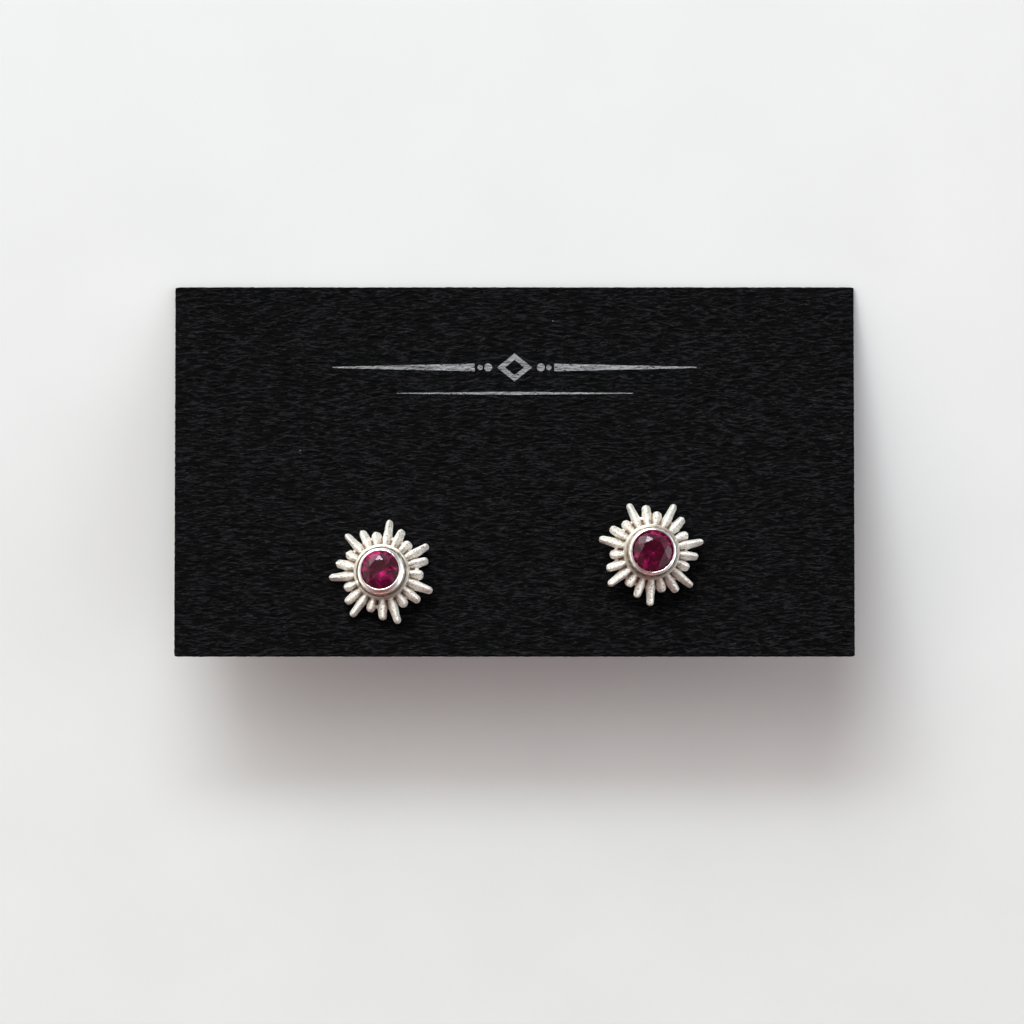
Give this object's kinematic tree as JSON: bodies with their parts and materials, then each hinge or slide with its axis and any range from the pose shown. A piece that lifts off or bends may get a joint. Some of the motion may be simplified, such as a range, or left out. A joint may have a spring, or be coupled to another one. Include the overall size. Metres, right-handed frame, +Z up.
{
  "type": "pair of stud earrings on a card",
  "caption": "Sun-shaped silver stud earrings with round faceted red stones in bezels, pushed through a black card that leans on its post tips and top edge.",
  "frame": {"origin": "on the surface the card lies on, under the middle of the whole object's box", "axes": "+X to the right along the card as it is read, +Y towards the card's top edge, which lies on the surface, +Z up"},
  "size_m": [0.0888, 0.0472, 0.0151],
  "materials": {
    "card_board": "matt black fibrous board with a felt-marked surface",
    "silver": "cast silver, frosted rays and a polished bezel",
    "red_stone": "polished faceted transparent red stone",
    "clutch_silver": "bright pressed silver sheet"
  },
  "bodies": {
    "root": {"card": "card_board", "left_stud": "silver", "right_stud": "silver", "left_stone": "red_stone", "right_stone": "red_stone", "left_clutch": "clutch_silver", "right_clutch": "clutch_silver"}
  },
  "joints": []
}
